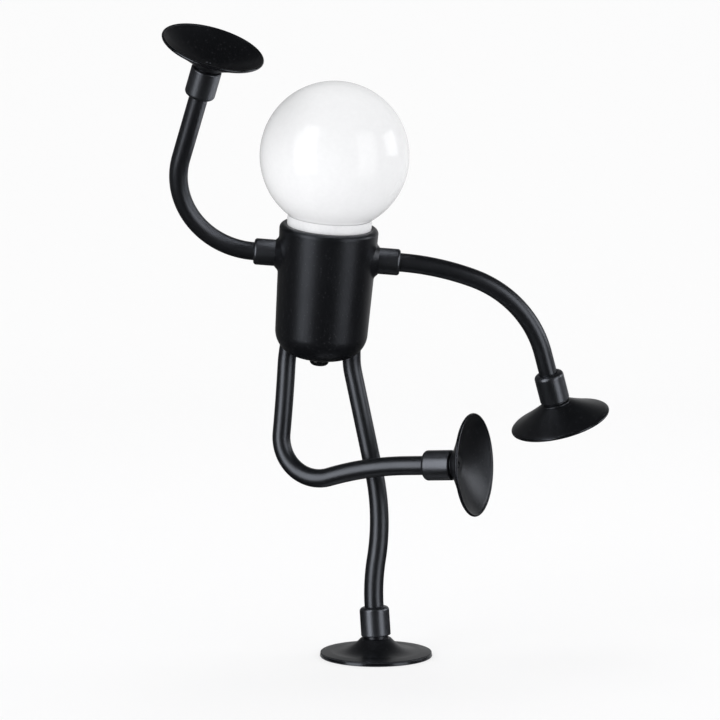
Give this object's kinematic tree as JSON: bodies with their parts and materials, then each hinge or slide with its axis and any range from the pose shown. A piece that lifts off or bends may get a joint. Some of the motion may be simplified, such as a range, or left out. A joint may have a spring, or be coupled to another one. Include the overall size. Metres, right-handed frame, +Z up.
{
  "type": "robot shaped desk lamp",
  "caption": "Cordless desk lamp shaped like a robot: opal globe on a tapered torso, bendable limbs that end in suction cups, standing on one cup.",
  "frame": {"origin": "middle of the standing foot's underside, on the table", "axes": "+Z up; +X to the right of the picture, towards the lowered hand; +Y away from the viewer"},
  "size_m": [0.2396, 0.1154, 0.3432],
  "materials": {
    "torso_coat": "matt soft-touch coat with a fine grain",
    "ferrule_metal": "satin black anodised",
    "sleeve_rubber": "matt silicone tube",
    "cup_rubber": "satin moulded rubber",
    "fastener_steel": "plain zinc-plated steel",
    "core_metal": "dull soft annealed bar",
    "plate_aluminium": "turned aluminium",
    "led_board_white": "white solder mask",
    "led_yellow": "phosphor gel",
    "seat_plastic": "moulded white plastic",
    "collar_white": "gloss white moulding",
    "globe_opal": "gloss opal",
    "cell_wrap": "shrink-wrapped cell can",
    "inner_plastic": "plain moulded black",
    "contact_brass": "plated spring strip",
    "board_green": "green solder mask",
    "port_steel": "drawn steel shell",
    "button_black": "satin moulded cap"
  },
  "bodies": {
    "torso": {"torso_shell": "torso_coat", "left_shoulder_ferrule": "ferrule_metal", "right_shoulder_ferrule": "ferrule_metal", "shoulder_nuts": "fastener_steel", "hip_nuts": "fastener_steel", "heat_plate": "plate_aluminium", "led_board": "led_board_white", "led_chips": "led_yellow", "collar_seat": "seat_plastic", "plate_screws": "fastener_steel", "battery_cell": "cell_wrap", "battery_cradle": "inner_plastic", "battery_contacts": "contact_brass", "control_board": "board_green", "charge_port": "port_steel", "switch_body": "inner_plastic", "left_arm_core_root": "core_metal", "right_arm_core_root": "core_metal", "free_leg_core_root": "core_metal", "standing_leg_core_root": "core_metal"},
    "globe": {"globe_shade": "globe_opal", "globe_collar": "collar_white"},
    "button": {"switch_button": "button_black"},
    "left_arm_upper": {"left_arm_core_upper": "core_metal", "left_arm_sleeve": "sleeve_rubber"},
    "left_arm_lower": {"left_arm_core_lower": "core_metal"},
    "left_arm_tip": {"left_arm_core_tip": "core_metal", "left_arm_ferrule": "ferrule_metal"},
    "left_arm_end": {"left_arm_cup": "cup_rubber", "left_arm_cup_pin": "fastener_steel"},
    "right_arm_upper": {"right_arm_core_upper": "core_metal", "right_arm_sleeve": "sleeve_rubber"},
    "right_arm_lower": {"right_arm_core_lower": "core_metal"},
    "right_arm_tip": {"right_arm_core_tip": "core_metal", "right_arm_ferrule": "ferrule_metal"},
    "right_arm_end": {"right_arm_cup": "cup_rubber", "right_arm_cup_pin": "fastener_steel"},
    "free_leg_upper": {"free_leg_core_upper": "core_metal", "free_leg_sleeve": "sleeve_rubber"},
    "free_leg_lower": {"free_leg_core_lower": "core_metal"},
    "free_leg_tip": {"free_leg_core_tip": "core_metal", "free_leg_ferrule": "ferrule_metal"},
    "free_leg_end": {"free_leg_cup": "cup_rubber", "free_leg_cup_pin": "fastener_steel"},
    "standing_leg_upper": {"standing_leg_core_upper": "core_metal", "standing_leg_sleeve": "sleeve_rubber"},
    "standing_leg_lower": {"standing_leg_core_lower": "core_metal"},
    "standing_leg_tip": {"standing_leg_core_tip": "core_metal", "standing_leg_ferrule": "ferrule_metal"},
    "standing_leg_end": {"standing_leg_cup": "cup_rubber", "standing_leg_cup_pin": "fastener_steel"}
  },
  "joints": [
    {"name": "left_arm_bend_1", "type": "hinge", "parent": "torso", "child": "left_arm_upper", "pos_m": [-0.08311, -0.00344, 0.22648], "axis": [0.0288, 0.9268, 0.3745], "range_deg": [-45, 5], "deforming": ["left_arm_sleeve"]},
    {"name": "left_arm_bend_2", "type": "hinge", "parent": "left_arm_upper", "child": "left_arm_lower", "pos_m": [-0.10476, -0.01409, 0.25451], "axis": [-0.9848, 0.0905, -0.1481], "range_deg": [-40, 35], "deforming": ["left_arm_sleeve"]},
    {"name": "left_arm_bend_3", "type": "hinge", "parent": "left_arm_lower", "child": "left_arm_tip", "pos_m": [-0.09798, -0.02865, 0.29003], "axis": [0.0288, 0.9268, 0.3745], "range_deg": [-45, 10], "deforming": ["left_arm_sleeve"]},
    {"name": "left_arm_cup_swivel", "type": "hinge", "parent": "left_arm_tip", "child": "left_arm_end", "pos_m": [-0.08865, -0.04071, 0.31917], "axis": [0.2835, -0.3668, 0.886], "continuous": true},
    {"name": "right_arm_bend_1", "type": "hinge", "parent": "torso", "child": "right_arm_upper", "pos_m": [0.03061, -0.00177, 0.21317], "axis": [0.0181, 0.9718, 0.2351], "range_deg": [-35, 30], "deforming": ["right_arm_sleeve"]},
    {"name": "right_arm_bend_2", "type": "hinge", "parent": "right_arm_upper", "child": "right_arm_lower", "pos_m": [0.06608, 0.00076, 0.19998], "axis": [0.569, -0.2034, 0.7968], "range_deg": [-30, 35], "deforming": ["right_arm_sleeve"]},
    {"name": "right_arm_bend_3", "type": "hinge", "parent": "right_arm_lower", "child": "right_arm_tip", "pos_m": [0.08948, 0.00758, 0.16997], "axis": [0.0181, 0.9718, 0.2351], "range_deg": [-40, 35], "deforming": ["right_arm_sleeve"]},
    {"name": "right_arm_cup_swivel", "type": "hinge", "parent": "right_arm_tip", "child": "right_arm_end", "pos_m": [0.0981, 0.01488, 0.13914], "axis": [0.2575, 0.2227, -0.9403], "continuous": true},
    {"name": "free_leg_bend_1", "type": "hinge", "parent": "torso", "child": "free_leg_upper", "pos_m": [-0.04957, 0.00674, 0.14613], "axis": [0.3898, 0.9183, -0.0699], "range_deg": [-35, 30], "deforming": ["free_leg_sleeve"]},
    {"name": "free_leg_bend_2", "type": "hinge", "parent": "free_leg_upper", "child": "free_leg_lower", "pos_m": [-0.0395, -0.00104, 0.10009], "axis": [0.3711, -0.0871, 0.9245], "range_deg": [-40, 10], "deforming": ["free_leg_sleeve"]},
    {"name": "free_leg_bend_3", "type": "hinge", "parent": "free_leg_lower", "child": "free_leg_tip", "pos_m": [0.00736, -0.02039, 0.10723], "axis": [0.3898, 0.9183, -0.0699], "range_deg": [-40, 35], "deforming": ["free_leg_sleeve"]},
    {"name": "free_leg_cup_swivel", "type": "hinge", "parent": "free_leg_tip", "child": "free_leg_end", "pos_m": [0.04065, -0.03433, 0.10974], "axis": [0.9204, -0.3859, 0.0631], "continuous": true},
    {"name": "standing_leg_bend_1", "type": "hinge", "parent": "torso", "child": "standing_leg_upper", "pos_m": [-0.00975, 0.00685, 0.14182], "axis": [0, -0.9986, 0.0523], "range_deg": [-25, 30], "deforming": ["standing_leg_sleeve"]},
    {"name": "standing_leg_bend_2", "type": "hinge", "parent": "standing_leg_upper", "child": "standing_leg_lower", "pos_m": [-0.00014, 0.00444, 0.09588], "axis": [-0.9853, -0.0089, -0.1707], "range_deg": [-30, 30], "deforming": ["standing_leg_sleeve"]},
    {"name": "standing_leg_bend_3", "type": "hinge", "parent": "standing_leg_lower", "child": "standing_leg_tip", "pos_m": [-0.00054, 0.00192, 0.04782], "axis": [0, -0.9986, 0.0523], "range_deg": [-30, 30], "deforming": ["standing_leg_sleeve"]},
    {"name": "standing_leg_cup_swivel", "type": "hinge", "parent": "standing_leg_tip", "child": "standing_leg_end", "pos_m": [0, 0, 0.0112], "axis": [0.0644, -0.0522, -0.9966], "continuous": true},
    {"name": "globe_twist", "type": "hinge", "parent": "torso", "child": "globe", "pos_m": [-0.02525, -0.00488, 0.23558], "axis": [0.0757, -0.165, 0.9834], "range_deg": [0, 30]},
    {"name": "switch_press", "type": "slide", "parent": "torso", "child": "button", "axis": [0.0757, -0.165, 0.9834], "range_m": [0, 0.0015], "stiffness_N_per_m": 250, "springref_m": -0.003}
  ]
}
